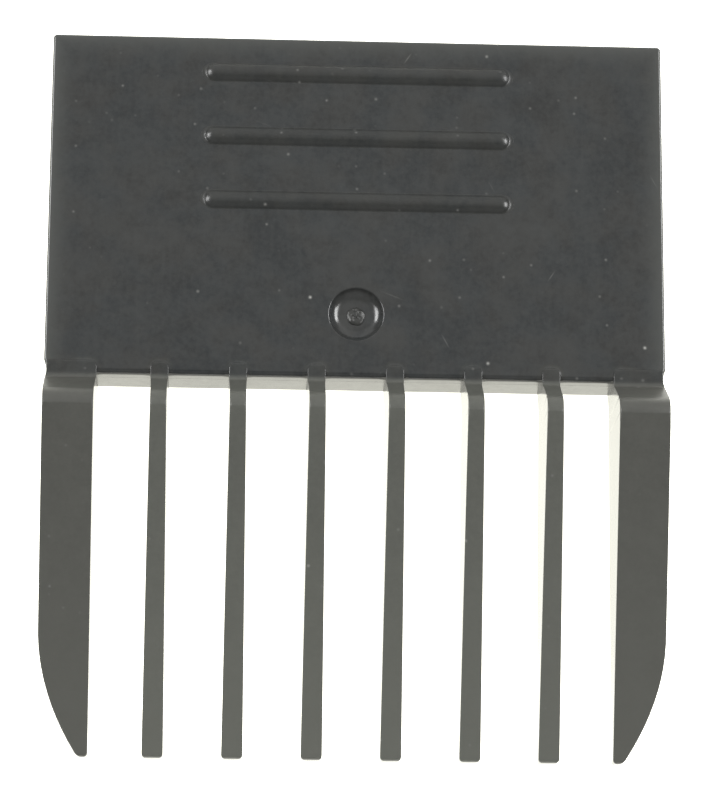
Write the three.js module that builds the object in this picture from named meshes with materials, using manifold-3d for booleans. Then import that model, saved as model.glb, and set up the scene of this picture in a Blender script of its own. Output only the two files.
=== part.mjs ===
// Slide-on guard comb for a hair clipper, in millimetres.
// +Z is up: the ribbed outer face of the comb looks up, and the clipper head goes underneath.
// +Y points to the rear, where the clipper head slides in; the teeth point along -Y.
// The origin is the centre of the bounding box, at its base.

import * as THREE from 'three';
import { mergeVertices } from 'three/addons/utils/BufferGeometryUtils.js';
import Module from 'manifold-3d';

const wasm = await Module();
wasm.setup();

// ---- driving dimensions ----

const PLATE_WIDTH = 46.4;            // the widest place of the comb
const TEETH_WIDTH = 46.2;            // across the two outer teeth
const PLATE_LENGTH = 26.6;           // rear edge to front edge of the back plate
const TOOTH_REACH = 28.1;            // front edge of the back plate to the tooth tips
const PLATE_TOP = 5.1;               // height of the plate's outer face
const PLATE_THICKNESS = 1.2;
const PLATE_CORNER = 0.3;            // radius of the plate's rear corners

const NOTCH_DEPTH = 0.2;             // the outline steps in where the outer teeth leave the plate
const NOTCH_LENGTH = 1.0;
const NOTCH_REACH = 0.75;            // front edge of the plate to the outer tooth's full width

const RIB_LENGTH = 23.0;
const RIB_WIDTH = 1.25;
const RIB_HEIGHT = 0.32;
const RIB_PITCH = 5.05;
const RIB_FIRST = 2.8;               // rear edge of the plate to the middle of the rear rib

const RECESS_DIAMETER = 3.9;         // round gate recess in the plate
const RECESS_DEPTH = 0.6;
const RECESS_FROM_REAR = 21.7;
const GATE_DIAMETER = 1.2;
const GATE_HEIGHT = 0.25;

const TOOTH_COUNT = 6;               // slender teeth between the two broad outer ones
const TOOTH_PITCH = 5.84;
const TOOTH_ROOT_WIDTH = 1.19;
const TOOTH_TIP_WIDTH = 1.5;
const OUTER_TOOTH_WIDTH = 3.7;
const OUTER_CURVE_LENGTH = 9.0;      // stretch over which the outer edge curves in to the tip
const OUTER_CURVE_OFFSET = 3.0;
const TIP_RADIUS = 0.22;

const PAD_WIDTH = 1.36;              // flared root of a slender tooth, lying on the plate
const PAD_LENGTH = 1.0;
const PAD_HEIGHT = 0.12;
const PAD_CORNER = 0.5;
const FLARE_END = 1.5;               // where the flared root has narrowed to the tooth's own width

const BEND_START = 0.05;             // the S-bend starts this far in front of the plate's edge
const BEND_LENGTH = 3.0;
const BEND_ANGLE = Math.PI / 3;      // slope of the steep middle of the S-bend
const VALLEY_RADIUS = 0.5;           // hollow curve where the S-bend leaves the pad
const CREST_HEIGHT = 8.4;            // top of the tooth just after the S-bend
const TIP_HEIGHT = 1.5;              // height of the tooth's end face

const WALL_THICKNESS = 1.2;          // front wall under the plate
const WALL_BOTTOM = 1.0;             // the clipper's cutting edge passes under the front wall
const RAIL_INSET = 0.2;              // the rails stand this far in from the plate's edges
const RAIL_THICKNESS = 1.4;
const LIP_WIDTH = 1.2;               // ledge along the foot of each rail
const LIP_HEIGHT = 0.9;
const LIP_START = 2.5;               // front edge of the plate to the front end of the ledge

const STOP_WIDTH = 2.4;              // two blocks that the clipper head is pushed against
const STOP_LENGTH = 1.0;
const STOP_SPACING = 26.0;
const STOP_BOTTOM = 1.2;

const CATCH_WIDTH = 12.0;            // snap tab under the rear edge
const CATCH_THICKNESS = 1.0;
const CATCH_BOTTOM = 0.9;
const CATCH_FROM_REAR = 0.6;
const CATCH_GAP = 0.4;               // between the tab and the plate
const HOOK_REACH = 1.0;
const HOOK_HEIGHT = 1.2;
const HOOK_LAND = 0.3;               // flat at the point of the hook

const CURVE_STEPS = 6;

// ---- places worked out from them ----

const PLATE_HALF = PLATE_WIDTH / 2;
const TEETH_HALF = TEETH_WIDTH / 2;
const REAR = (PLATE_LENGTH + TOOTH_REACH) / 2;
const TIP = -REAR;
const FRONT = REAR - PLATE_LENGTH;
const PLATE_UNDERSIDE = PLATE_TOP - PLATE_THICKNESS;
const PAD_TOP = PLATE_TOP + PAD_HEIGHT;
const BEND = FRONT - BEND_START;
const CREST = BEND - BEND_LENGTH;
const OUTER_INNER_EDGE = TEETH_HALF - OUTER_TOOTH_WIDTH;

// ---- materials ----

function plastic(name, color, roughness) {
  return new THREE.MeshStandardMaterial({ name, color, roughness, metalness: 0 });
}

const shellPlastic = plastic('shell', 0x3a3c3c, 0.45);
const ribPlastic = plastic('ribs', 0x424444, 0.4);
const toothPlastic = plastic('teeth', 0x464844, 0.42);
const insidePlastic = plastic('inside', 0x363838, 0.5);

// ---- helpers ----

const ALONG_X = new THREE.Matrix4().makeBasis(
  new THREE.Vector3(0, 1, 0),
  new THREE.Vector3(0, 0, 1),
  new THREE.Vector3(1, 0, 0),
);

// A prism of a plan outline, standing on the height "bottom".
function standingPrism(outline, bottom, top) {
  const geometry = new THREE.ExtrudeGeometry(outline, {
    depth: top - bottom,
    bevelEnabled: false,
    curveSegments: CURVE_STEPS,
  });
  return geometry.translate(0, 0, bottom);
}

// A prism of a side view, drawn in Y and Z, running along X between two places.
function crossPrism(sideView, from, to) {
  const geometry = new THREE.ExtrudeGeometry(sideView, {
    depth: to - from,
    bevelEnabled: false,
    curveSegments: CURVE_STEPS,
  });
  return geometry.applyMatrix4(ALONG_X).translate(from, 0, 0);
}

function block(low, high) {
  const geometry = new THREE.BoxGeometry(high[0] - low[0], high[1] - low[1], high[2] - low[2]);
  return geometry.translate((low[0] + high[0]) / 2, (low[1] + high[1]) / 2, (low[2] + high[2]) / 2);
}

function upright(radius, bottom, top, x, y) {
  const geometry = new THREE.CylinderGeometry(radius, radius, top - bottom, 32);
  return geometry.rotateX(Math.PI / 2).translate(x, y, (bottom + top) / 2);
}

function toSolid(geometry) {
  const bare = geometry.clone();
  bare.deleteAttribute('normal');
  bare.deleteAttribute('uv');
  const merged = mergeVertices(bare, 1e-5);
  return new wasm.Manifold(new wasm.Mesh({
    numProp: 3,
    vertProperties: new Float32Array(merged.attributes.position.array),
    triVerts: new Uint32Array(merged.index.array),
  }));
}

function toGeometry(solid) {
  const mesh = solid.getMesh();
  const geometry = new THREE.BufferGeometry();
  geometry.setAttribute('position', new THREE.BufferAttribute(new Float32Array(mesh.vertProperties), 3));
  geometry.setIndex(new THREE.BufferAttribute(new Uint32Array(mesh.triVerts), 1));
  geometry.computeVertexNormals();
  return geometry;
}

const comb = new THREE.Group();

function addPart(name, geometry, material) {
  const mesh = new THREE.Mesh(geometry, material);
  mesh.name = name;
  comb.add(mesh);
  return mesh;
}

// ---- back plate, with its grip ribs and the gate recess ----

function plateOutline() {
  const neck = PLATE_HALF - NOTCH_DEPTH;
  const shape = new THREE.Shape();
  shape.moveTo(neck, FRONT);
  shape.quadraticCurveTo(neck, FRONT + NOTCH_LENGTH / 2, PLATE_HALF, FRONT + NOTCH_LENGTH);
  shape.lineTo(PLATE_HALF, REAR - PLATE_CORNER);
  shape.quadraticCurveTo(PLATE_HALF, REAR, PLATE_HALF - PLATE_CORNER, REAR);
  shape.lineTo(-PLATE_HALF + PLATE_CORNER, REAR);
  shape.quadraticCurveTo(-PLATE_HALF, REAR, -PLATE_HALF, REAR - PLATE_CORNER);
  shape.lineTo(-PLATE_HALF, FRONT + NOTCH_LENGTH);
  shape.quadraticCurveTo(-neck, FRONT + NOTCH_LENGTH / 2, -neck, FRONT);
  return shape;
}

function addBackPlate() {
  const plate = toSolid(standingPrism(plateOutline(), PLATE_UNDERSIDE, PLATE_TOP));
  const recessY = REAR - RECESS_FROM_REAR;
  const floor = PLATE_TOP - RECESS_DEPTH;
  const recess = toSolid(upright(RECESS_DIAMETER / 2, floor, PLATE_TOP + 1, 0, recessY));
  addPart('back_plate', toGeometry(plate.subtract(recess)), shellPlastic);
  const gate = upright(GATE_DIAMETER / 2, floor, floor + GATE_HEIGHT, 0, recessY);
  addPart('gate_mark', gate, shellPlastic);
}

function ribOutline(y) {
  const end = (RIB_LENGTH - RIB_WIDTH) / 2;
  const shape = new THREE.Shape();
  shape.moveTo(-end, y - RIB_WIDTH / 2);
  shape.lineTo(end, y - RIB_WIDTH / 2);
  shape.absarc(end, y, RIB_WIDTH / 2, -Math.PI / 2, Math.PI / 2, false);
  shape.lineTo(-end, y + RIB_WIDTH / 2);
  shape.absarc(-end, y, RIB_WIDTH / 2, Math.PI / 2, 1.5 * Math.PI, false);
  return shape;
}

function addGripRibs() {
  ['rear', 'middle', 'front'].forEach((place, i) => {
    const outline = ribOutline(REAR - RIB_FIRST - i * RIB_PITCH);
    addPart(`grip_rib_${place}`, standingPrism(outline, PLATE_TOP, PLATE_TOP + RIB_HEIGHT), ribPlastic);
  });
}

// ---- teeth ----

// The radii of the S-bend's two curves together: they and the steep middle make up its rise.
function bothRadii() {
  const rise = CREST_HEIGHT - PAD_TOP;
  const tangent = Math.tan(BEND_ANGLE);
  const spare = Math.sin(BEND_ANGLE) * tangent - 1 + Math.cos(BEND_ANGLE);
  return (BEND_LENGTH * tangent - rise) / spare;
}

// Side view of every tooth: a pad on the plate, an S-bend up, then a top edge falling to the tip.
function toothSideView() {
  const shape = new THREE.Shape();
  const crestRadius = bothRadii() - VALLEY_RADIUS;
  const up = Math.PI / 2;
  shape.moveTo(FRONT + PAD_LENGTH, PLATE_TOP);
  shape.lineTo(FRONT + PAD_LENGTH, PAD_TOP);
  shape.lineTo(BEND, PAD_TOP);
  shape.absarc(BEND, PAD_TOP + VALLEY_RADIUS, VALLEY_RADIUS, -up, -up - BEND_ANGLE, true);
  shape.absarc(CREST, CREST_HEIGHT - crestRadius, crestRadius, up - BEND_ANGLE, up, false);
  shape.lineTo(TIP + TIP_RADIUS, TIP_HEIGHT);
  shape.quadraticCurveTo(TIP, TIP_HEIGHT, TIP, TIP_HEIGHT - TIP_RADIUS);
  shape.lineTo(TIP, TIP_RADIUS);
  shape.quadraticCurveTo(TIP, 0, TIP + TIP_RADIUS, 0);
  shape.lineTo(FRONT, WALL_BOTTOM);
  shape.lineTo(FRONT, PLATE_TOP);
  return shape;
}

// Plan view of a slender tooth: flared root with rounded rear corners, then widening to its tip.
function slenderPlan(x) {
  const pad = PAD_WIDTH / 2;
  const root = TOOTH_ROOT_WIDTH / 2;
  const tip = TOOTH_TIP_WIDTH / 2;
  const rear = FRONT + PAD_LENGTH;
  const shape = new THREE.Shape();
  shape.moveTo(x - pad + PAD_CORNER, rear);
  shape.quadraticCurveTo(x - pad, rear, x - pad, rear - PAD_CORNER);
  shape.lineTo(x - pad, FRONT);
  shape.quadraticCurveTo(x - root, FRONT - FLARE_END / 2, x - root, FRONT - FLARE_END);
  shape.lineTo(x - tip, TIP + TIP_RADIUS);
  shape.quadraticCurveTo(x - tip, TIP, x - tip + TIP_RADIUS, TIP);
  shape.lineTo(x + tip - TIP_RADIUS, TIP);
  shape.quadraticCurveTo(x + tip, TIP, x + tip, TIP + TIP_RADIUS);
  shape.lineTo(x + root, FRONT - FLARE_END);
  shape.quadraticCurveTo(x + root, FRONT - FLARE_END / 2, x + pad, FRONT);
  shape.lineTo(x + pad, rear - PAD_CORNER);
  shape.quadraticCurveTo(x + pad, rear, x + pad - PAD_CORNER, rear);
  return shape;
}

// Plan view of a broad outer tooth. "side" is +1 on the right and -1 on the left.
function outerPlan(side) {
  const edge = side * TEETH_HALF;
  const neck = side * (PLATE_HALF - NOTCH_DEPTH);
  const inner = side * OUTER_INNER_EDGE;
  const flare = side * (OUTER_INNER_EDGE - (PAD_WIDTH - TOOTH_ROOT_WIDTH) / 2);
  const point = side * (TEETH_HALF - OUTER_CURVE_OFFSET);
  const rear = FRONT + PAD_LENGTH;
  const curveStart = TIP + OUTER_CURVE_LENGTH;
  const shape = new THREE.Shape();
  shape.moveTo(neck, rear);
  shape.lineTo(neck, FRONT);
  shape.quadraticCurveTo(edge, FRONT, edge, FRONT - NOTCH_REACH);
  shape.lineTo(edge, curveStart);
  shape.quadraticCurveTo(edge, TIP + OUTER_CURVE_LENGTH / 2, point, TIP + TIP_RADIUS);
  shape.quadraticCurveTo(point - side * TIP_RADIUS / 2, TIP, (point + inner) / 2, TIP);
  shape.quadraticCurveTo(inner, TIP, inner, TIP + TIP_RADIUS);
  shape.lineTo(inner, FRONT - FLARE_END);
  shape.quadraticCurveTo(inner, FRONT - FLARE_END / 2, flare, FRONT);
  shape.lineTo(flare, rear - PAD_CORNER);
  shape.quadraticCurveTo(flare, rear, flare + side * PAD_CORNER, rear);
  return shape;
}

const sideSolid = toSolid(crossPrism(toothSideView(), -TEETH_HALF - 1, TEETH_HALF + 1));

function addTooth(name, plan) {
  const planSolid = toSolid(standingPrism(plan, -1, CREST_HEIGHT + 1));
  addPart(name, toGeometry(planSolid.intersect(sideSolid)), toothPlastic);
}

function addTeeth() {
  addTooth('outer_tooth_left', outerPlan(-1));
  for (let i = 0; i < TOOTH_COUNT; i += 1) {
    addTooth(`comb_tooth_${i + 1}`, slenderPlan((i - (TOOTH_COUNT - 1) / 2) * TOOTH_PITCH));
  }
  addTooth('outer_tooth_right', outerPlan(1));
}

// ---- underside: front wall, guide rails, ledges and stops ----

function addUnderside() {
  const railFace = PLATE_HALF - RAIL_INSET;
  const channel = railFace - RAIL_THICKNESS;
  const wallRear = FRONT + WALL_THICKNESS;
  const wall = block([-channel, FRONT, WALL_BOTTOM], [channel, wallRear, PLATE_UNDERSIDE]);
  addPart('front_wall', wall, insidePlastic);
  [['left', -1], ['right', 1]].forEach(([name, side]) => {
    const edges = [side * channel, side * railFace].sort((a, b) => a - b);
    const lips = [side * channel, side * (channel - LIP_WIDTH)].sort((a, b) => a - b);
    const stop = side * STOP_SPACING / 2;
    const railRear = REAR - PLATE_CORNER;
    addPart(`guide_rail_${name}`, block([edges[0], FRONT, 0], [edges[1], railRear, PLATE_UNDERSIDE]),
      insidePlastic);
    addPart(`rail_lip_${name}`, block([lips[0], FRONT + LIP_START, 0], [lips[1], railRear, LIP_HEIGHT]),
      insidePlastic);
    addPart(`head_stop_${name}`, block([stop - STOP_WIDTH / 2, wallRear, STOP_BOTTOM],
      [stop + STOP_WIDTH / 2, wallRear + STOP_LENGTH, PLATE_UNDERSIDE]), insidePlastic);
  });
}

// ---- snap catch under the rear edge ----

function hookSideView(face) {
  const point = face - HOOK_REACH;
  const shape = new THREE.Shape();
  shape.moveTo(face, CATCH_BOTTOM);
  shape.lineTo(face, CATCH_BOTTOM + HOOK_HEIGHT);
  shape.lineTo(point, CATCH_BOTTOM + HOOK_HEIGHT);
  shape.lineTo(point, CATCH_BOTTOM + HOOK_HEIGHT - HOOK_LAND);
  return shape;
}

function addCatch() {
  const rear = REAR - CATCH_FROM_REAR;
  const face = rear - CATCH_THICKNESS;
  const half = CATCH_WIDTH / 2;
  addPart('catch_tab', block([-half, face, CATCH_BOTTOM], [half, rear, PLATE_UNDERSIDE - CATCH_GAP]),
    insidePlastic);
  addPart('catch_hook', crossPrism(hookSideView(face), -half, half), insidePlastic);
}

addBackPlate();
addGripRibs();
addTeeth();
addUnderside();
addCatch();

export default comb;
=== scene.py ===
"""Looks of the clipper guard comb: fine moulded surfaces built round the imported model."""

import math

import bmesh
import bpy
from mathutils import Matrix, Vector, geometry, noise


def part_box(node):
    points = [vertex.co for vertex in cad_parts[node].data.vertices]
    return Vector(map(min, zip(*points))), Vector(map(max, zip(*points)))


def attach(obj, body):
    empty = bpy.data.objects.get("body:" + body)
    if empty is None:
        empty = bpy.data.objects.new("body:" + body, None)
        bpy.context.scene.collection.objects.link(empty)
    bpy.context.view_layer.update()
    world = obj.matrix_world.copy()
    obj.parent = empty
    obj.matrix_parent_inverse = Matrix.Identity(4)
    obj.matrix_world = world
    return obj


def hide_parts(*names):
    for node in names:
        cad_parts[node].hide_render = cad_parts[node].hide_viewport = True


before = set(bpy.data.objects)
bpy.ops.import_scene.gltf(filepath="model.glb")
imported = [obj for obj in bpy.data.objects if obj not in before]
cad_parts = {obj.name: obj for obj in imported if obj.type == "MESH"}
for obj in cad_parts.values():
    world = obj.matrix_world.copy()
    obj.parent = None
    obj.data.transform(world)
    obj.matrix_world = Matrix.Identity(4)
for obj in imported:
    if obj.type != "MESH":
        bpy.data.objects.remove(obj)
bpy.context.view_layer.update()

MM = 0.001
STEPS = 6                      # segments in a rounded edge
MERGE_DISTANCE = 0.0005 * MM   # vertices nearer than this are one
PLATE_LOW, PLATE_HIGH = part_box("back_plate")
PLATE_TOP = PLATE_HIGH.z
UNDERSIDE = PLATE_LOW.z
FRONT = PLATE_LOW.y            # front edge of the back plate
REAR = PLATE_HIGH.y
PLATE_HALF = PLATE_HIGH.x
TOOTH_LOW, TOOTH_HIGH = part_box("outer_tooth_right")
TIP = TOOTH_LOW.y
CREST_HEIGHT = TOOTH_HIGH.z
PAD_REAR = TOOTH_HIGH.y
WALL_LOW, WALL_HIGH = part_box("front_wall")
RECESS_LOW, RECESS_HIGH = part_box("gate_mark")
RECESS_CENTRE = (RECESS_LOW + RECESS_HIGH) / 2
RECESS_FLOOR = RECESS_LOW.z
RIBS = ("grip_rib_rear", "grip_rib_middle", "grip_rib_front")
SLENDER_TEETH = tuple(f"comb_tooth_{i + 1}" for i in range(6))


# ---------------------------------------------------------------- camera, floor and light

FLOOR_GAP = 0.02 * MM          # keeps the floor just clear of the feet


def add_camera():
    """A long lens, nearly overhead, tipped towards the tooth tips and turned a little."""
    azimuth = math.radians(-9.56)
    elevation = math.radians(75.65)
    roll = math.radians(10.29)
    distance = 261.2 * MM
    target = Vector((-0.055 * MM, 0.31 * MM, 0))
    back = Vector((
        math.sin(azimuth) * math.cos(elevation),
        -math.cos(azimuth) * math.cos(elevation),
        math.sin(elevation),
    ))
    level = Vector((0, 0, 1)).cross(back).normalized()
    upward = back.cross(level)
    right = level * math.cos(roll) + upward * math.sin(roll)
    up = upward * math.cos(roll) - level * math.sin(roll)
    data = bpy.data.cameras.new("camera")
    data.lens = 155.0
    data.sensor_width = 36.0
    camera = bpy.data.objects.new("camera", data)
    turn = Matrix((right, up, back)).transposed().to_4x4()
    camera.matrix_world = Matrix.Translation(target + back * distance) @ turn
    bpy.context.scene.collection.objects.link(camera)
    bpy.context.scene.camera = camera


def add_soft_box(name, direction, distance, size, radiance):
    """A soft box that faces the object; its size is across and up, its strength a radiance."""
    data = bpy.data.lights.new(name, "AREA")
    data.shape = "RECTANGLE"
    data.size, data.size_y = size
    data.energy = radiance * math.pi * size[0] * size[1]
    light = bpy.data.objects.new(name, data)
    place = Vector(direction).normalized() * distance
    light.location = place
    light.rotation_euler = (-place).to_track_quat("-Z", "Y").to_euler()
    bpy.context.scene.collection.objects.link(light)


def add_studio():
    """Two strong soft boxes at the sides, and weak ones overhead, behind and in front."""
    world = bpy.data.worlds.new("studio")
    world.use_nodes = True
    sky = world.node_tree.nodes["Background"]
    sky.inputs["Color"].default_value = (1.0, 1.0, 0.985, 1)
    sky.inputs["Strength"].default_value = 0.3
    bpy.context.scene.world = world
    bpy.context.scene.view_settings.view_transform = "Standard"
    add_soft_box("left_box", (-0.74, 0.2, 0.64), 0.5, (0.28, 0.18), 16.0)
    add_soft_box("right_box", (0.74, 0.2, 0.64), 0.5, (0.28, 0.18), 16.0)
    add_soft_box("top_box", (0.0, 0.3, 1.0), 0.7, (0.8, 0.5), 0.35)
    add_soft_box("rear_box", (0.0, 1.0, 0.6), 0.6, (0.9, 0.6), 0.6)
    add_soft_box("front_box", (0.0, -1.0, 0.8), 0.7, (0.9, 0.5), 0.25)


def add_floor():
    """A white light table: it glows, so that nothing on it throws a hard shadow."""
    bm = bmesh.new()
    bmesh.ops.create_grid(bm, x_segments=1, y_segments=1, size=1.5)
    mesh = bpy.data.meshes.new("floor")
    bm.to_mesh(mesh)
    bm.free()
    floor = bpy.data.objects.new("floor", mesh)
    floor.location.z = -FLOOR_GAP
    bpy.context.scene.collection.objects.link(floor)
    material = bpy.data.materials.new("floor")
    material.use_nodes = True
    shader = material.node_tree.nodes["Principled BSDF"]
    shader.inputs["Base Color"].default_value = (0.9, 0.9, 0.89, 1)
    shader.inputs["Roughness"].default_value = 0.8
    shader.inputs["Emission Color"].default_value = (1.0, 0.99, 0.88, 1)
    shader.inputs["Emission Strength"].default_value = 1.9
    mesh.materials.append(material)


# ---------------------------------------------------------------- materials

GLARE_EDGE_WIDTH = 2.2 * MM          # how far the plate's edges are painted paler, as painted glare
BLADE_START = 0.1 * MM         # where a tooth turns matt, before the plate's front edge
BLADE_FULL = 0.3 * MM          # where it is wholly matt, beyond that edge
BLADE_GLARE_START = 8 * MM      # where a tooth's painted glare starts, paler towards its tip
UPWARD_SPAN = (0.1, 0.4)       # how far a normal points up from a tooth's flank to its upper face
FLANK_GRAIN_SHARE = 0.15       # a tooth's flanks are smoother than its upper face
SWELL_SHARE = 3.0              # height of the broad swells against the fine grain
BUMP_DISTANCE = 0.02 * MM


def moulded_plastic(name, base, roughness, blade=None, painted_glare=False, specks=0.0, grain=0.05):
    """Black moulded plastic: hazy flow marks, drawn-out streaks, fine grain and a little lint.

    "blade" is for the teeth, whose upper faces are duller than their roots and their sides:
    the colour and the roughness of those upper faces, painted paler towards the tips as painted
    glare. The flag after it paints the plate paler towards its edges: painted glare.
    "specks" is how much of the surface's cells holds dust, and "grain" is the strength of the bump.
    """
    material = bpy.data.materials.new(name)
    material.use_nodes = True
    nodes, links = material.node_tree.nodes, material.node_tree.links
    shader = nodes["Principled BSDF"]
    shader.inputs["IOR"].default_value = 1.5
    place = nodes.new("ShaderNodeTexCoord").outputs["Object"]

    def noise_map(scale, stretch=(1, 1, 1), detail=3.0, rough=0.55):
        """A noise in the object's own space, drawn out where "stretch" is small."""
        mapping = nodes.new("ShaderNodeMapping")
        mapping.inputs["Scale"].default_value = stretch
        links.new(place, mapping.inputs["Vector"])
        texture = nodes.new("ShaderNodeTexNoise")
        texture.inputs["Scale"].default_value = scale
        texture.inputs["Detail"].default_value = detail
        texture.inputs["Roughness"].default_value = rough
        links.new(mapping.outputs["Vector"], texture.inputs["Vector"])
        return texture.outputs["Fac"]

    def ramp(value, low, high, dark, light):
        """Goes from dark to light as a value goes from low to high."""
        node = nodes.new("ShaderNodeMapRange")
        node.inputs["From Min"].default_value = low
        node.inputs["From Max"].default_value = high
        node.inputs["To Min"].default_value = dark
        node.inputs["To Max"].default_value = light
        links.new(value, node.inputs["Value"])
        return node.outputs["Result"]

    def calculate(operation, first, second=None):
        node = nodes.new("ShaderNodeMath")
        node.operation = operation
        links.new(first, node.inputs[0])
        if second:
            links.new(second, node.inputs[1])
        return node.outputs["Value"]

    def split(vector):
        node = nodes.new("ShaderNodeSeparateXYZ")
        links.new(vector, node.inputs["Vector"])
        return node.outputs

    def blend(fac, first, second, kind="RGBA"):
        """A mix of two colours, or of two numbers; each is a socket or a constant."""
        node = nodes.new("ShaderNodeMix")
        node.data_type = kind
        for socket, value in (("Factor", fac), ("A", first), ("B", second)):
            slot = next(i for i in node.inputs if i.name == socket and i.enabled)
            if isinstance(value, bpy.types.NodeSocket):
                links.new(value, slot)
            else:
                slot.default_value = value
        return next(o for o in node.outputs if o.enabled)

    def shade(colour, factors):
        """A colour with each channel multiplied, and an alpha of 1."""
        return tuple(c * k for c, k in zip(colour, factors)) + (1,)

    def mottle(under, value, span, share, colour, factors):
        """Mix in a share of a shaded colour where a noise map crosses a span."""
        return blend(ramp(value, *span, 0, share), under, shade(colour, factors))

    def specks_map(scale, radius, share, stretch=(1, 1, 1), turn=0.0):
        """Scattered specks, or short fibres when stretched: 1 at their middle, 0 outside."""
        mapping = nodes.new("ShaderNodeMapping")
        mapping.vector_type = "TEXTURE"
        mapping.inputs["Rotation"].default_value = (0, 0, turn)
        mapping.inputs["Scale"].default_value = stretch
        links.new(place, mapping.inputs["Vector"])
        cells = nodes.new("ShaderNodeTexVoronoi")
        cells.inputs["Scale"].default_value = scale
        links.new(mapping.outputs["Vector"], cells.inputs["Vector"])
        near = ramp(cells.outputs["Distance"], 0, radius, 1, 0)
        near = calculate("MULTIPLY", near, near)
        picked = nodes.new("ShaderNodeSeparateColor")
        links.new(cells.outputs["Color"], picked.inputs["Color"])
        chosen = ramp(picked.outputs["Red"], 1 - share, 1 - share / 2, 0, 1)
        return calculate("MULTIPLY", near, chosen)

    tint = noise_map(330, detail=2)
    haze = noise_map(300, detail=10, rough=0.8)
    streaks = noise_map(1, stretch=(2600, 160, 600), detail=3)
    grit = noise_map(2600, detail=3, rough=0.7)
    cold, warm = shade(base, (0.9, 0.98, 1.04)), shade(base, (1.05, 1.02, 0.98))
    colour = blend(ramp(tint, 0.4, 0.6, 0, 1), cold, warm)
    colour = mottle(colour, haze, (0.42, 0.68), 0.45, base, (2.3, 2.3, 2.25))
    colour = mottle(colour, haze, (0.52, 0.32), 0.4, base, (0.4, 0.4, 0.4))
    colour = mottle(colour, streaks, (0.5, 0.8), 0.18, base, (2.0, 2.0, 2.0))
    colour = mottle(colour, grit, (0.35, 0.7), 0.5, base, (1.7, 1.7, 1.65))

    patches = noise_map(700, detail=6, rough=0.7)
    dullness = ramp(patches, 0.3, 0.7, roughness - 0.05, roughness + 0.07)
    x, y, _ = split(place)
    # painted glare: the plate is painted paler towards its side and rear edges
    if painted_glare:
        across = ramp(calculate("ABSOLUTE", x), PLATE_HALF - GLARE_EDGE_WIDTH, PLATE_HALF, 0, 1)
        along = ramp(y, REAR - GLARE_EDGE_WIDTH, REAR, 0, 1)
        edge = calculate("MAXIMUM", across, along)
        colour = blend(calculate("MULTIPLY", edge, edge), colour, shade(base, (2.6, 2.6, 2.45)))
    if blade:
        _, _, upward = split(nodes.new("ShaderNodeNewGeometry").outputs["Normal"])
        beyond_pad = ramp(y, FRONT + BLADE_START, FRONT - BLADE_FULL, 0, 1)
        upper_face = calculate("MULTIPLY", beyond_pad, ramp(upward, *UPWARD_SPAN, 0, 1))
        matt_base, matt_roughness = blade
        # painted glare: the matt upper faces are painted paler towards the tips
        tip_glare = ramp(y, FRONT - BLADE_GLARE_START, TIP, 0, 1)
        matt_and_glare = blend(tip_glare, shade(matt_base, (1, 1, 1)), shade(matt_base, (1.45, 1.45, 1.45)))
        matt_and_glare = mottle(matt_and_glare, haze, (0.35, 0.7), 0.25, matt_base, (1.8, 1.8, 1.8))
        matt_and_glare = mottle(matt_and_glare, grit, (0.35, 0.7), 0.3, matt_base, (1.6, 1.6, 1.6))
        colour = blend(upper_face, colour, matt_and_glare)
        matt_dullness = ramp(patches, 0.3, 0.7, matt_roughness - 0.04, matt_roughness + 0.04)
        dullness = blend(upper_face, roughness, matt_dullness, "FLOAT")
    if specks:
        pale, grey = (0.32, 0.32, 0.3, 1), (0.11, 0.11, 0.105, 1)
        colour = blend(specks_map(600, 0.13, specks), colour, pale)
        colour = blend(specks_map(900, 0.17, specks * 1.5), colour, grey)
        fibres = (
            (specks_map(700, 0.07, specks / 2, (1, 8, 1), -0.6), pale),
            (specks_map(900, 0.09, specks, (1, 9, 1), 0.5), (0.12, 0.12, 0.115, 1)),
            (specks_map(900, 0.09, specks, (1, 14, 1), 1.2), (0.09, 0.09, 0.085, 1)),
        )
        for fibre, lint in fibres:
            colour = blend(fibre, colour, lint)
    links.new(colour, shader.inputs["Base Color"])
    links.new(dullness, shader.inputs["Roughness"])

    fine = noise_map(9000, detail=2)
    swell = noise_map(260, detail=2)
    height = nodes.new("ShaderNodeMath")
    height.operation = "MULTIPLY_ADD"
    links.new(swell, height.inputs[0])
    height.inputs[1].default_value = SWELL_SHARE
    links.new(fine, height.inputs[2])
    bump = nodes.new("ShaderNodeBump")
    if blade:
        on_flanks = grain * FLANK_GRAIN_SHARE
        links.new(ramp(upward, *UPWARD_SPAN, on_flanks, grain), bump.inputs["Strength"])
    else:
        bump.inputs["Strength"].default_value = grain
    bump.inputs["Distance"].default_value = BUMP_DISTANCE
    links.new(height.outputs["Value"], bump.inputs["Height"])
    links.new(bump.outputs["Normal"], shader.inputs["Normal"])
    return material


# ---------------------------------------------------------------- mesh helpers

LARGEST_ROUND = 0.49           # largest corner radius, as a share of the shorter side


def side_name(side):
    return "left" if side < 0 else "right"


def finish_piece(name, bm, material, body, slot, *nodes):
    """Turn a bmesh into a smooth piece on its body, which stands for its CAD nodes if it has any."""
    bmesh.ops.remove_doubles(bm, verts=bm.verts, dist=MERGE_DISTANCE)
    bmesh.ops.recalc_face_normals(bm, faces=bm.faces)
    mesh = bpy.data.meshes.new(name)
    bm.to_mesh(mesh)
    bm.free()
    for polygon in mesh.polygons:
        polygon.use_smooth = True
    mesh.materials.append(material)
    piece = bpy.data.objects.new(name, mesh)
    bpy.context.scene.collection.objects.link(piece)
    weighted = piece.modifiers.new("flat_faces_stay_flat", "WEIGHTED_NORMAL")
    weighted.mode = "FACE_AREA"
    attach(piece, body)
    if nodes:
        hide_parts(*nodes)


def add_ring(bm, points):
    """Make a vertex at each point."""
    return [bm.verts.new(p) for p in points]


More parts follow.
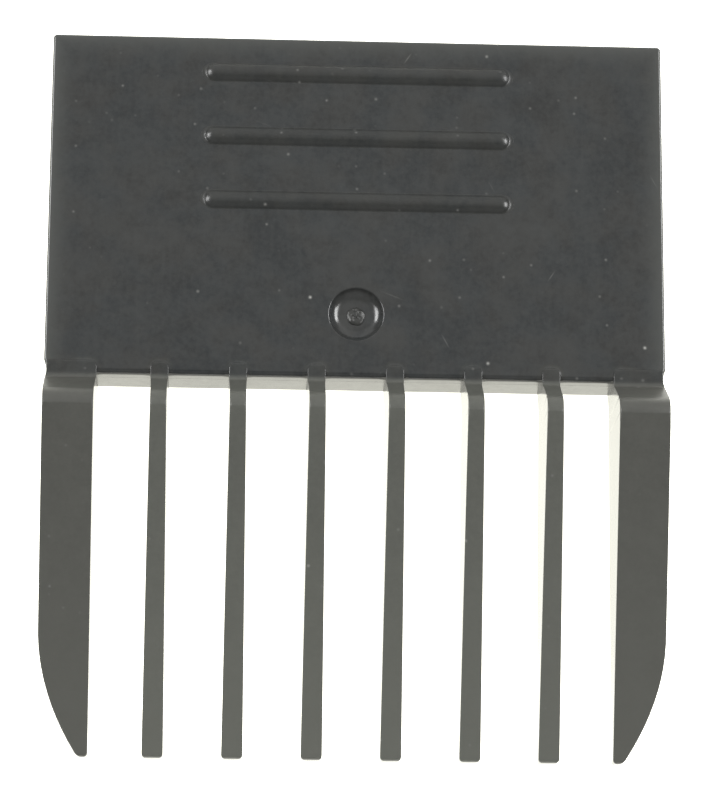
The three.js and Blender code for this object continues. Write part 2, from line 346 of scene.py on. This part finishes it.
def join_rings(bm, first, second):
    """Join two closed rings of equally many vertices with faces."""
    count = len(first)
    for i in range(count):
        j = (i + 1) % count
        bm.faces.new((first[i], first[j], second[j], second[i]))


def loft(bm, rings):
    """Join rings of equally many points, and close both ends."""
    rows = [add_ring(bm, ring) for ring in rings]
    for first, second in zip(rows, rows[1:]):
        join_rings(bm, first, second)
    bm.faces.new(reversed(rows[0]))
    bm.faces.new(rows[-1])


def rounded_rectangle(low, high, radii, steps=STEPS):
    """Corners of a rectangle rounded one by one: bottom left, bottom right, top right, top left."""
    (x0, z0), (x1, z1) = low, high
    limit = LARGEST_ROUND * min(x1 - x0, z1 - z0)
    corners = ((x0, z0, 1, 1), (x1, z0, -1, 1), (x1, z1, -1, -1), (x0, z1, 1, -1))
    points = []
    for i, ((x, z, sx, sz), radius) in enumerate(zip(corners, radii)):
        radius = min(radius, limit)
        start = math.pi + i * math.pi / 2
        for k in range(steps + 1):
            angle = start + k / steps * math.pi / 2
            px = x + sx * radius + radius * math.cos(angle)
            pz = z + sz * radius + radius * math.sin(angle)
            points.append((px, pz))
    return points


def end_rounding(radius, steps=STEPS):
    """Pairs of (distance from the end, how far the section draws in) round an end."""
    pairs = []
    for k in range(steps + 1):
        angle = k / steps * math.pi / 2
        pairs.append((radius * (1 - math.sin(angle)), radius * (1 - math.cos(angle))))
    return pairs[::-1]


def bar(axis, start, end, low, high, radii, end_radii):
    """A straight bar along X or Y with rounded edges and rounded ends."""
    stations = [(start + d, inset) for d, inset in end_rounding(end_radii[0])]
    stations += [(end - d, inset) for d, inset in reversed(end_rounding(end_radii[1]))]
    rings = []
    for along, inset in stations:
        (a0, z0), (a1, z1) = low, high
        section = rounded_rectangle((a0 + inset, z0 + inset), (a1 - inset, z1 - inset), radii)
        if axis == "Y":
            rings.append([Vector((a, along, z)) for a, z in section])
        else:
            rings.append([Vector((along, a, z)) for a, z in section])
    return rings


def quadratic(p0, p1, p2, t):
    """A coordinate of a curve from p0 to p2 that bends towards p1."""
    return p0 * (1 - t) ** 2 + p1 * 2 * t * (1 - t) + p2 * t ** 2


# ---------------------------------------------------------------- back plate

EDGE_RADIUS = 0.22 * MM        # rear and side edges of the plate
FRONT_RADIUS = 0.45 * MM
HIDDEN_RADIUS = 0.02 * MM      # lower edges that run on into the wall and the rails
LOWER_REAR_RADIUS = 0.12 * MM  # lower edge of the plate's rear
NOTCH_DEPTH = 0.2 * MM
NOTCH_LENGTH = 1.0 * MM
CORNER = 0.3 * MM
RIM_RADIUS = 2.13 * MM
DISH_FLOOR_RADIUS = 1.04 * MM
DISH_INNER_RADIUS = 0.6 * MM   # the innermost ring of the floor, around the gate mark
DISH_RIM_ROUND = 0.13 * MM
SINK_DEPTH = 0.012 * MM
SINK_WIDTH = 1.3 * MM
RIB_SINK_OFFSET = 1.0 * MM     # from a rib's middle line to the deepest place of its hollow
WALL_SINK_OFFSET = 1.4 * MM    # from the front wall's middle to the deepest place of its hollow
WALL_SINK_SHARE = 0.7
RIPPLE_HEIGHT = 0.006 * MM
RIPPLE_LENGTH = 4 * MM
NET_SPACING = 0.6 * MM         # the fine net of faces on the plate, and its distance from the
NET_SIDE_GAP = 0.8 * MM        # sides, the front edge, the rear edge and the recess
NET_FRONT_GAP = 0.9 * MM
NET_REAR_GAP = 0.6 * MM
NET_RECESS_GAP = 0.25 * MM
RIB_SPREAD = 0.78 * MM         # from a rib's middle line to the foot of its fillet
RIB_CROWN_SHARE = 0.85         # how much of the rib's roundness is crown, the rest is fillet
RIB_END_SPREAD = 0.2 * MM      # how much wider that fillet is round the rib's ends
RIB_SKIRT = 0.1 * MM           # a rim outside the fillet, sunk into the plate
RIB_SKIRT_DEPTH = 0.05 * MM
RIB_TOP_HALF = 0.02 * MM       # half the width of the flat line along a rib's top


def plate_outline():
    """Points round the plate, each with its outward normal and its two edge radii."""
    neck = PLATE_HALF - NOTCH_DEPTH
    half = []
    for k in range(24):
        half.append((k / 24 * neck, FRONT, FRONT_RADIUS, HIDDEN_RADIUS))
    for k in range(9):
        t = k / 8
        x = quadratic(neck, neck, PLATE_HALF, t)
        y = quadratic(FRONT, FRONT + NOTCH_LENGTH / 2, FRONT + NOTCH_LENGTH, t)
        half.append((x, y, FRONT_RADIUS + (EDGE_RADIUS - FRONT_RADIUS) * t, HIDDEN_RADIUS))
    for k in range(1, 16):
        y = FRONT + NOTCH_LENGTH + k / 16 * (REAR - CORNER - FRONT - NOTCH_LENGTH)
        half.append((PLATE_HALF, y, EDGE_RADIUS, HIDDEN_RADIUS))
    for k in range(STEPS + 1):
        angle = k / STEPS * math.pi / 2
        x = PLATE_HALF - CORNER + CORNER * math.cos(angle)
        y = REAR - CORNER + CORNER * math.sin(angle)
        bottom = HIDDEN_RADIUS + (LOWER_REAR_RADIUS - HIDDEN_RADIUS) * k / STEPS
        half.append((x, y, EDGE_RADIUS, bottom))
    for k in range(1, 24):
        x = (1 - k / 24) * (PLATE_HALF - CORNER)
        half.append((x, REAR, EDGE_RADIUS, LOWER_REAR_RADIUS))
    half.append((0, REAR, EDGE_RADIUS, LOWER_REAR_RADIUS))
    mirrored = [(-x, y, top, bottom) for x, y, top, bottom in reversed(half[1:-1])]
    points = half + mirrored
    outline = []
    for i, (x, y, top, bottom) in enumerate(points):
        before, after = points[i - 1], points[(i + 1) % len(points)]
        first = Vector((y - before[1], before[0] - x)).normalized()
        second = Vector((after[1] - y, x - after[0])).normalized()
        mitre = (first + second) / (1 + first.dot(second))
        outline.append((Vector((x, y)), mitre, top, bottom))
    return outline


def plate_swell(x, y):
    """Very shallow hollows that a moulded plate has beside its ribs and over its front wall."""
    depth = 0.0
    for rib in RIBS:
        low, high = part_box(rib)
        beyond = max(abs(x) - high.x, 0)
        gap = abs(y - (low.y + high.y) / 2) - RIB_SINK_OFFSET
        depth += math.exp(-((gap / SINK_WIDTH) ** 2) - (beyond / SINK_WIDTH) ** 2)
    wall = (y - (WALL_LOW.y + WALL_HIGH.y) / 2 - WALL_SINK_OFFSET) / SINK_WIDTH
    depth += WALL_SINK_SHARE * math.exp(-wall * wall)
    return -SINK_DEPTH * depth + RIPPLE_HEIGHT * noise.noise(Vector((x, y, 0)) / RIPPLE_LENGTH)


def recess_profile():
    """Radius and height of the gate recess from its rim to its floor: a small dish."""
    depth = PLATE_TOP - RECESS_FLOOR
    steepest = 2 * math.atan(depth / (RIM_RADIUS - DISH_FLOOR_RADIUS))
    radii = (RIM_RADIUS - DISH_FLOOR_RADIUS) / math.sin(steepest)
    rim = DISH_RIM_ROUND
    dish = radii - rim
    points = []
    for k in range(7):
        tilt = k / 6 * steepest
        points.append((RIM_RADIUS - rim * math.sin(tilt), PLATE_TOP - rim * (1 - math.cos(tilt))))
    for k in range(13, -1, -1):
        tilt = k / 14 * steepest
        radius = DISH_FLOOR_RADIUS + dish * math.sin(tilt)
        points.append((radius, RECESS_FLOOR + dish * (1 - math.cos(tilt))))
    points.append((DISH_INNER_RADIUS, RECESS_FLOOR))
    return points


def fill_face(bm, loops, inner_points, is_inside, height):
    """Fill between loops of vertices with a fine triangle net that follows a height."""
    verts = [v for loop in loops for v in loop]
    edges = []
    start = 0
    for loop in loops:
        edges += [(start + i, start + (i + 1) % len(loop)) for i in range(len(loop))]
        start += len(loop)
    flat = [Vector((v.co.x, v.co.y)) / MM for v in verts] + [Vector(p) / MM for p in inner_points]
    verts += [bm.verts.new((x, y, height(x, y))) for x, y in inner_points]
    made = geometry.delaunay_2d_cdt(flat, edges, [], 0, 1e-5)
    for triangle in made[2]:
        ids = [made[3][i][0] for i in triangle]
        middle = (flat[ids[0]] + flat[ids[1]] + flat[ids[2]]) / 3 * MM
        if is_inside(middle):
            bm.faces.new([verts[i] for i in ids])


def grid_points(spacing, keep):
    """Points of a square grid over the plate, where "keep" wants them."""
    points = []
    columns = int(2 * PLATE_HALF / spacing)
    rows = int((REAR - FRONT) / spacing)
    for i in range(1, columns):
        for j in range(1, rows):
            p = Vector((-PLATE_HALF + i * spacing, FRONT + j * spacing))
            if keep(p):
                points.append(tuple(p))
    return points


def build_back_plate(material):
    """The plate: rounded edges all round, the gate recess, and a net of fine faces on top."""
    bm = bmesh.new()
    outline = plate_outline()
    rings = []
    for k in range(STEPS + 1):
        angle = k / STEPS * math.pi / 2
        ring = []
        for point, normal, top, _ in outline:
            inset = top * (1 - math.sin(angle))
            p = point - normal * inset
            front = FRONT + FRONT_RADIUS * (1 - math.sin(angle))
            ring.append(Vector((p.x, max(p.y, front), PLATE_TOP - top * (1 - math.cos(angle)))))
        rings.append(ring)
    for p in rings[0]:
        p.z += plate_swell(p.x, p.y)
    for k in range(STEPS + 1):
        angle = k / STEPS * math.pi / 2
        ring = []
        for point, normal, _, bottom in outline:
            p = point - normal * bottom * (1 - math.cos(angle))
            ring.append(Vector((p.x, p.y, UNDERSIDE + bottom * (1 - math.sin(angle)))))
        rings.append(ring)
    rows = [add_ring(bm, ring) for ring in rings]
    for first, second in zip(rows, rows[1:]):
        join_rings(bm, first, second)

    centre = Vector((RECESS_CENTRE.x, RECESS_CENTRE.y))
    around = 64
    circles = []
    for radius, z in recess_profile():
        ring = []
        for k in range(around):
            angle = k / around * 2 * math.pi
            x, y = centre.x + radius * math.cos(angle), centre.y + radius * math.sin(angle)
            lift = plate_swell(x, y) if z == PLATE_TOP else 0
            ring.append((x, y, z + lift))
        circles.append(add_ring(bm, ring))
    for first, second in zip(circles, circles[1:]):
        join_rings(bm, first, second)
    bm.faces.new(circles[-1])

    def clear(p):
        across = abs(p.x) < PLATE_HALF - NET_SIDE_GAP
        along = FRONT + NET_FRONT_GAP < p.y < REAR - NET_REAR_GAP
        return across and along and (p - centre).length > RIM_RADIUS + NET_RECESS_GAP

    fill_face(
        bm, [rows[0], circles[0]], grid_points(NET_SPACING, clear),
        lambda p: (p - centre).length > RIM_RADIUS * 0.999,
        lambda x, y: PLATE_TOP + plate_swell(x, y),
    )
    bm.faces.new(rows[-1])
    finish_piece("back_plate_skin", bm, material, "comb", "shell", "back_plate")


GATE_RINGS = (                 # share of the stub's radius, share of its height
    (1.08, -0.1), (1.0, 0.12), (0.88, 0.36), (0.74, 0.5), (0.58, 0.56), (0.4, 0.42), (0.18, 0.5),
)
GATE_TOP_START = 0.3           # share of the height above which the stub is pitted
GATE_HIGHEST = 0.98            # share of the height that the pitted top may reach
GATE_SPREAD = 1.08             # how much wider the torn stub is than its CAD node
GATE_WOBBLE = 0.16             # how uneven its outline is
GATE_PITTING = 0.5             # how uneven its top is
GATE_NOISE_PLACE = Vector((7, 3, 1))


def build_gate_mark(material):
    """The torn stub of the moulding gate: a low, uneven button with a pitted top."""
    bm = bmesh.new()
    radius = (RECESS_HIGH.x - RECESS_LOW.x) / 2
    top = RECESS_HIGH.z - RECESS_LOW.z
    around = 28
    rings = []
    for scale, lift in GATE_RINGS:
        ring = []
        for k in range(around):
            angle = k / around * 2 * math.pi
            spot = Vector((math.cos(angle), math.sin(angle), scale * 1.7))
            wobble = 1 + GATE_WOBBLE * noise.noise(spot * 1.6)
            bite = 0
            if lift > GATE_TOP_START:
                bite = GATE_PITTING * noise.noise(spot * 2.2 + GATE_NOISE_PLACE)
            r = radius * GATE_SPREAD * scale * wobble
            z = RECESS_FLOOR + top * min(lift + bite, GATE_HIGHEST)
            x, y = RECESS_CENTRE.x + r * math.cos(angle), RECESS_CENTRE.y + r * math.sin(angle)
            ring.append((x, y, z))
        rings.append(ring)
    loft(bm, rings)
    finish_piece("gate_mark_stub", bm, material, "comb", "shell", "gate_mark")


# ---------------------------------------------------------------- grip ribs

def build_rib(node, material):
    """A low round rib with round ends, running out into the plate in a hollow fillet."""
    low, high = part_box(node)
    y = (low.y + high.y) / 2
    reach = high.x - (high.y - low.y) / 2
    height = high.z - PLATE_TOP
    steepest = 2 * math.atan(height / RIB_SPREAD)
    radii = RIB_SPREAD / math.sin(steepest)
    crown = radii * RIB_CROWN_SHARE
    hollow = radii - crown
    foot = RIB_SPREAD - hollow * math.sin(steepest)
    profile = [(RIB_SPREAD + RIB_SKIRT, -RIB_SKIRT_DEPTH)]
    for k in range(13):
        tilt = k / 12 * steepest
        profile.append((RIB_SPREAD - hollow * math.sin(tilt), hollow * (1 - math.cos(tilt))))
    for k in range(11, -1, -1):
        tilt = k / 12 * steepest
        from_middle = max(crown * math.sin(tilt), RIB_TOP_HALF)
        profile.append((from_middle, height - crown * (1 - math.cos(tilt))))
    bm = bmesh.new()
    rings = []
    for r, h in profile:
        ring = []
        for side in (1, -1):
            for k in range(25):
                angle = -side * math.pi / 2 + k / 24 * math.pi
                share = min(max((r - foot) / (RIB_SPREAD - foot), 0), 1)
                wide = r + RIB_END_SPREAD * share * math.cos(angle) ** 2
                x, dy = side * reach + wide * math.cos(angle), wide * math.sin(angle)
                ring.append((x, y + dy, PLATE_TOP + h + plate_swell(x, y + dy)))
        rings.append(ring)
    loft(bm, rings)
    finish_piece(f"{node}_crown", bm, material, "comb", "ribs", node)


# ---------------------------------------------------------------- teeth

PAD_HEIGHT = 0.12 * MM
PAD_CORNER = 0.5 * MM
PAD_SUNK_SHARE = 0.2           # its rear edge starts this share of its height under the plate
BEND = FRONT - 0.05 * MM       # where the S-bend leaves the pad
BEND_LENGTH = 3.0 * MM
BEND_ANGLE = math.radians(60)
CREST_BLEND = 0.4 * MM         # radius that leads over the crest to the falling top edge
VALLEY_RADIUS = 0.5 * MM
FLARE_END = 1.5 * MM           # how far in front of the plate a root's flare reaches
TIP_HEIGHT = 1.5 * MM
TIP_RADIUS = 0.3 * MM
PAD_HALF = 0.68 * MM
ROOT_HALF = 0.6 * MM
TIP_HALF = 0.79 * MM
OUTER_WIDTH = 3.76 * MM
EDGE_ROUND = 0.05 * MM         # along the edges of a tooth
CREST_ROUND = 0.14 * MM        # at its crest, where the edge is worn rounder
CREST_WORN = 0.45 * MM         # how far that wear reaches along the edge
PAD_ROUND = 0.06 * MM
FILLET_WIDTH = 0.32 * MM
FILLET_HEIGHT = 0.042 * MM
FILLET_BURIED = [(1.6, -0.01 * MM), (-0.2, -0.1 * MM)]    # its corners inside the plate
FILLET_SINK = 0.02 * MM        # how far under the plate a fillet's open end sinks
EMBED = 0.4 * MM               # how far a tooth's foot runs into the wall
ROOT_DEPTH = 0.5 * MM          # how far a pad runs down into the plate
FOOT_SINK = 0.06 * MM          # keeps that foot off the wall's lower face
UPRIGHT_STEP = 0.001 * MM      # from one section to the next where a tooth's rear face is upright
NOTCH_REACH = 0.75 * MM
OUTER_CURVE_LENGTH = 9.0 * MM
OUTER_CURVE_OFFSET = 3.0 * MM


def tooth_top_line():
    """Place and height of a tooth's top edge, from the rear of its pad to its tip.

    It is a pad, a small hollow arc, a steep line, a crest arc, and a long line down to the tip.
    """
    pad_top = PLATE_TOP + PAD_HEIGHT
    crest = BEND - BEND_LENGTH
    tangent = math.tan(BEND_ANGLE)
    spare = math.sin(BEND_ANGLE) * tangent - 1 + math.cos(BEND_ANGLE)
    both_radii = (BEND_LENGTH * tangent - CREST_HEIGHT + pad_top) / spare
    crest_radius = both_radii - VALLEY_RADIUS
    line = []
    for k in range(6):
        angle = k / 5 * math.pi / 2
        rise = PAD_HEIGHT * ((1 + PAD_SUNK_SHARE) * math.sin(angle) - PAD_SUNK_SHARE)
        line.append((PAD_REAR - PAD_HEIGHT * (1 - math.cos(angle)), PLATE_TOP + rise))
    for k in range(1, 5):
        line.append((PAD_REAR - PAD_HEIGHT + (BEND - PAD_REAR + PAD_HEIGHT) * k / 5, pad_top))
    for k in range(9):
        slope = k / 8 * BEND_ANGLE
        y = BEND - VALLEY_RADIUS * math.sin(slope)
        line.append((y, pad_top + VALLEY_RADIUS * (1 - math.cos(slope))))
    low = Vector(line[-1])
    high = Vector((
        crest + crest_radius * math.sin(BEND_ANGLE),
        CREST_HEIGHT - crest_radius * (1 - math.cos(BEND_ANGLE)),
    ))
    for k in range(1, 6):
        line.append(tuple(low.lerp(high, k / 6)))
    for k in range(16, 0, -1):
        slope = k / 16 * BEND_ANGLE
        y = crest + crest_radius * math.sin(slope)
        line.append((y, CREST_HEIGHT - crest_radius * (1 - math.cos(slope))))
    fall = math.atan((CREST_HEIGHT - TIP_HEIGHT) / (crest - TIP - TIP_RADIUS))
    for k in range(5):
        slope = k / 4 * fall
        y = crest - CREST_BLEND * math.sin(slope)
        line.append((y, CREST_HEIGHT - CREST_BLEND * (1 - math.cos(slope))))
    high = Vector(line[-1])
    low = Vector((TIP + TIP_RADIUS, TIP_HEIGHT))
    for k in range(1, 31):
        line.append(tuple(high.lerp(low, k / 30)))
    return line


def foot_line(y):
    """Height of a tooth's lower edge."""
    t = min(max((FRONT - y) / (FRONT - TIP), 0), 1)
    return WALL_LOW.z * (1 - t)


def slender_half(y):
    """Half the width of a slender tooth."""
    if y > PAD_REAR - PAD_CORNER:
        reach = PAD_REAR - y
        drop = PAD_CORNER - math.sqrt(max(PAD_CORNER ** 2 - (PAD_CORNER - reach) ** 2, 0))
        return PAD_HALF - drop
    if y > FRONT:
        return PAD_HALF
    if y > FRONT - FLARE_END:
        t = (FRONT - y) / FLARE_END
        return ROOT_HALF + (PAD_HALF - ROOT_HALF) * (1 - t) ** 2
    t = (FRONT - FLARE_END - y) / (FRONT - FLARE_END - TIP)
    return ROOT_HALF + (TIP_HALF - ROOT_HALF) * t


def outer_edges(y):
    """Inner and outer edge of the right-hand outer tooth."""
    edge = TOOTH_HIGH.x
    inner = edge - OUTER_WIDTH
    if y > FRONT - FLARE_END:
        inner -= slender_half(y) - ROOT_HALF
    outer = edge
    if y > FRONT:
        outer = PLATE_HALF - NOTCH_DEPTH
    elif y > FRONT - NOTCH_REACH:
        t = (FRONT - y) / NOTCH_REACH
        outer -= (edge - PLATE_HALF + NOTCH_DEPTH) * (1 - t) ** 2
    t = (TIP + OUTER_CURVE_LENGTH - y) / OUTER_CURVE_LENGTH
    if t > 0:
        outer -= OUTER_CURVE_OFFSET * t * t
    return inner, outer


def edge_round(y):
    """Radius of a tooth's upper edges: sharp, apart from the pad and the worn crest."""
    if y > FRONT:
        return PAD_ROUND
    away = (y - BEND + BEND_LENGTH) / CREST_WORN
    return EDGE_ROUND + (CREST_ROUND - EDGE_ROUND) * math.exp(-away * away)


def tooth_rings(edges):
    """Sections of a tooth; "edges" gives its low and high X at a place along it."""
    rings = []

    def section(y, top, foot, inset=0.0):
        low, high = edges(y)
        upper = edge_round(y)
        corners = rounded_rectangle(
            (low + inset, foot + inset), (high - inset, top - inset),
            (EDGE_ROUND, EDGE_ROUND, upper, upper),
        )
        rings.append([Vector((x, y, z)) for x, z in corners])

    buried = PLATE_TOP - ROOT_DEPTH
    behind_wall = FRONT + EMBED
    for y, top in tooth_top_line():
        if y > behind_wall:
            section(y, top, buried)
            continue
        if rings[-1][0].y > behind_wall:
            section(behind_wall, top, buried)
            section(behind_wall - UPRIGHT_STEP, top, WALL_LOW.z + FOOT_SINK)
        section(y, top, foot_line(y) + (FOOT_SINK if y > FRONT else 0))
    for distance, inset in reversed(end_rounding(TIP_RADIUS)):
        if distance < TIP_RADIUS * 0.999:
            section(TIP + distance, TIP_HEIGHT, foot_line(TIP), inset)
    return rings


def front_drop(y):
    """How far the plate's rounded front edge has fallen away at a place."""
    over = min(max((FRONT + FRONT_RADIUS - y) / FRONT_RADIUS, 0), 1)
    return FRONT_RADIUS * (1 - math.sqrt(1 - over * over))


def add_root_fillet(bm, edges, sides):
    """A low hollow fillet on the plate round a pad; "sides" says which of its flanks have one.

    Beside a flank without one, the fillet behind the pad sinks into the plate.
    """
    low, high = edges((FRONT + PAD_REAR - PAD_CORNER) / 2)
    flank = [FRONT + (PAD_REAR - FRONT) * k / 16 for k in range(17)]
    path = []
    if sides[0]:
        path += [(edges(y)[0], y, 0) for y in flank]
    for k in range(1, 6):
        sunk = (0 if sides[0] else (5 - k) / 4) + (0 if sides[1] else (k - 1) / 4)
        path.append((low + PAD_CORNER + (high - low - 2 * PAD_CORNER) * k / 6, PAD_REAR, sunk))
    if sides[1]:
        path += [(edges(y)[1], y, 0) for y in reversed(flank)]
    section = [(k / 5, FILLET_HEIGHT * (1 - k / 5) ** 2) for k in range(-1, 6)]
    section += FILLET_BURIED
    rings = []
    for i, (x, y, sunk) in enumerate(path):
        before = Vector(path[max(i - 1, 0)][:2])
        after = Vector(path[min(i + 1, len(path) - 1)][:2])
        along = (after - before).normalized()
        ring = []
        for reach, lift in section:
            px = x - along.y * FILLET_WIDTH * reach
            py = max(y + along.x * FILLET_WIDTH * reach, FRONT)
            surface = PLATE_TOP + plate_swell(px, py) - front_drop(py)
            ring.append((px, py, surface + lift - sunk * (lift + FILLET_SINK)))
        rings.append(ring)
    loft(bm, rings)


def build_tooth(node, edges, flanks, material):
    """A tooth between its two edges, with the fillet round its pad."""
    bm = bmesh.new()
    loft(bm, tooth_rings(edges))
    add_root_fillet(bm, edges, flanks)
    finish_piece(f"{node}_blade", bm, material, "comb", "teeth", node)


def build_slender_tooth(node, material):
    low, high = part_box(node)
    centre = (low.x + high.x) / 2

    def edges(y):
        return centre - slender_half(y), centre + slender_half(y)

    build_tooth(node, edges, (True, True), material)


def build_outer_tooth(side, material):
    def edges(y):
        inner, outer = outer_edges(y)
        return (inner, outer) if side > 0 else (-outer, -inner)

    build_tooth(f"outer_tooth_{side_name(side)}", edges, (side > 0, side < 0), material)


# ---------------------------------------------------------------- underside

WALL_FOOT_ROUND = 0.06 * MM
RAIL_OUTER_FOOT = 0.3 * MM     # rounding of a rail's foot, outside and inside
RAIL_INNER_FOOT = 0.1 * MM
RAIL_REAR_ROUND = 0.25 * MM
LIP_EDGE = 0.2 * MM
LIP_FRONT_ROUND = 0.15 * MM
LIP_REAR_ROUND = 0.4 * MM      # leads the head in
STOP_ROUND = 0.15 * MM


def build_front_wall(material):
    bm = bmesh.new()
    low, high = (WALL_LOW.y, WALL_LOW.z), (WALL_HIGH.y, UNDERSIDE)
    radii = (WALL_FOOT_ROUND, WALL_FOOT_ROUND, HIDDEN_RADIUS, HIDDEN_RADIUS)
    ends = (HIDDEN_RADIUS, HIDDEN_RADIUS)
    loft(bm, bar("X", WALL_LOW.x, WALL_HIGH.x, low, high, radii, ends))
    finish_piece("front_wall_skin", bm, material, "comb", "inside", "front_wall")


def build_long_bar(node, radii, ends, material):
    """A bar along Y that fills its CAD node's box."""
    low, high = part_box(node)
    bm = bmesh.new()
    loft(bm, bar("Y", low.y, high.y, (low.x, low.z), (high.x, high.z), radii, ends))
    finish_piece(f"{node}_skin", bm, material, "comb", "inside", node)


def build_rail(side, material):
    feet = (RAIL_INNER_FOOT, RAIL_OUTER_FOOT)
    radii = feet[::side] + (HIDDEN_RADIUS, HIDDEN_RADIUS)
    ends = (HIDDEN_RADIUS, RAIL_REAR_ROUND)
    build_long_bar(f"guide_rail_{side_name(side)}", radii, ends, material)


def build_lip(side, material):
    if side < 0:
        radii = (HIDDEN_RADIUS, LIP_EDGE, LIP_EDGE, HIDDEN_RADIUS)
    else:
        radii = (LIP_EDGE, HIDDEN_RADIUS, HIDDEN_RADIUS, LIP_EDGE)
    ends = (LIP_FRONT_ROUND, LIP_REAR_ROUND)
    build_long_bar(f"rail_lip_{side_name(side)}", radii, ends, material)


def build_wide_bar(node, piece, body, radii, end, material):
    """A bar along X that fills its CAD node's box."""
    low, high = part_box(node)
    bm = bmesh.new()
    loft(bm, bar("X", low.x, high.x, (low.y, low.z), (high.y, high.z), radii, (end, end)))
    finish_piece(piece, bm, material, body, "inside", node)


def build_stop(side, material):
    node = f"head_stop_{side_name(side)}"
    radii = (STOP_ROUND, STOP_ROUND, HIDDEN_RADIUS, HIDDEN_RADIUS)
    build_wide_bar(node, f"{node}_block", "comb", radii, STOP_ROUND, material)


ROOT_WAIST = 0.3 * MM          # half the thickness of the catch's bending root, at its thinnest
ROOT_FLARE = 0.48 * MM         # the same where it joins the plate and the tab
ROOT_OVERLAP = 0.1 * MM        # how far it runs into both of them
TAB_RADII = (0.2 * MM, 0.25 * MM, 0.3 * MM, 0.3 * MM)
TAB_END_ROUND = 0.25 * MM
HOOK_LAND = 0.3 * MM           # height of the flat at the hook's point
HOOK_CORNER = 0.12 * MM
HOOK_OVERLAP = 0.1 * MM        # how far the hook runs into the tab


def build_catch_root(material):
    """The thin waisted web that joins the catch to the plate."""
    low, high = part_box("catch_tab")
    middle = (low.y + high.y) / 2
    top, bottom = UNDERSIDE + ROOT_OVERLAP, high.z - ROOT_OVERLAP
    flank = []
    for k in range(13):
        t = k / 12
        half = ROOT_WAIST + (ROOT_FLARE - ROOT_WAIST) * (2 * t - 1) ** 2
        flank.append((half, top + (bottom - top) * t))
    outline = flank + [(-half, z) for half, z in reversed(flank)]
    ends = (low.x + ROOT_WAIST, high.x - ROOT_WAIST)
    bm = bmesh.new()
    loft(bm, [[(x, middle + y, z) for y, z in outline] for x in ends])
    finish_piece("catch_root_web", bm, material, "comb", "inside")


def build_catch_hook(material):
    """The catch's nose: a wedge with a small flat at its point, and soft ends."""
    low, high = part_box("catch_hook")
    stations = [(low.x + d, inset) for d, inset in end_rounding(HOOK_CORNER)]
    stations += [(high.x - d, inset) for d, inset in reversed(end_rounding(HOOK_CORNER))]
    rings = []
    for x, inset in stations:
        point = low.y + inset
        outline = [
            (high.y + HOOK_OVERLAP, low.z + inset),
            (high.y + HOOK_OVERLAP, high.z - inset),
            (point + HOOK_CORNER, high.z - inset),
            (point, high.z - inset - HOOK_CORNER),
            (point, high.z - HOOK_LAND + inset * 0.3),
            (point + HOOK_CORNER, high.z - HOOK_LAND - HOOK_CORNER + inset * 0.6),
        ]
        rings.append([Vector((x, y, z)) for y, z in outline])
    bm = bmesh.new()
    loft(bm, rings)
    finish_piece("catch_hook_nose", bm, material, "catch", "inside", "catch_hook")


# ---------------------------------------------------------------- everything in its place

add_camera()
add_studio()
add_floor()

ROOT_PLASTIC = (0.0185, 0.0192, 0.0182)
SLENDER_BLADE = ((0.0510, 0.0525, 0.0455), 0.42)
OUTER_BLADE = ((0.0405, 0.0410, 0.0360), 0.4)
# the shell's paler edges are painted glare
shell = moulded_plastic("shell_plastic", (0.0178, 0.0186, 0.0184), 0.2, painted_glare=True, specks=0.2)
gate = moulded_plastic("gate_plastic", (0.0130, 0.0135, 0.0125), 0.42)
ribs = moulded_plastic("rib_plastic", (0.0138, 0.0143, 0.0134), 0.33, specks=0.2)
slender = moulded_plastic("slender_tooth_plastic", ROOT_PLASTIC, 0.2, SLENDER_BLADE, specks=0.15)
outer = moulded_plastic("outer_tooth_plastic", ROOT_PLASTIC, 0.2, OUTER_BLADE, specks=0.15)
inside = moulded_plastic("inside_plastic", (0.027, 0.0275, 0.027), 0.2, grain=0.015)

build_back_plate(shell)
build_gate_mark(gate)
for rib in RIBS:
    build_rib(rib, ribs)
for tooth in SLENDER_TEETH:
    build_slender_tooth(tooth, slender)
for side in (-1, 1):
    build_outer_tooth(side, outer)
build_front_wall(inside)
for side in (-1, 1):
    build_rail(side, inside)
    build_lip(side, inside)
    build_stop(side, inside)
build_catch_root(inside)
build_wide_bar("catch_tab", "catch_tab_skin", "catch", TAB_RADII, TAB_END_ROUND, inside)
build_catch_hook(inside)
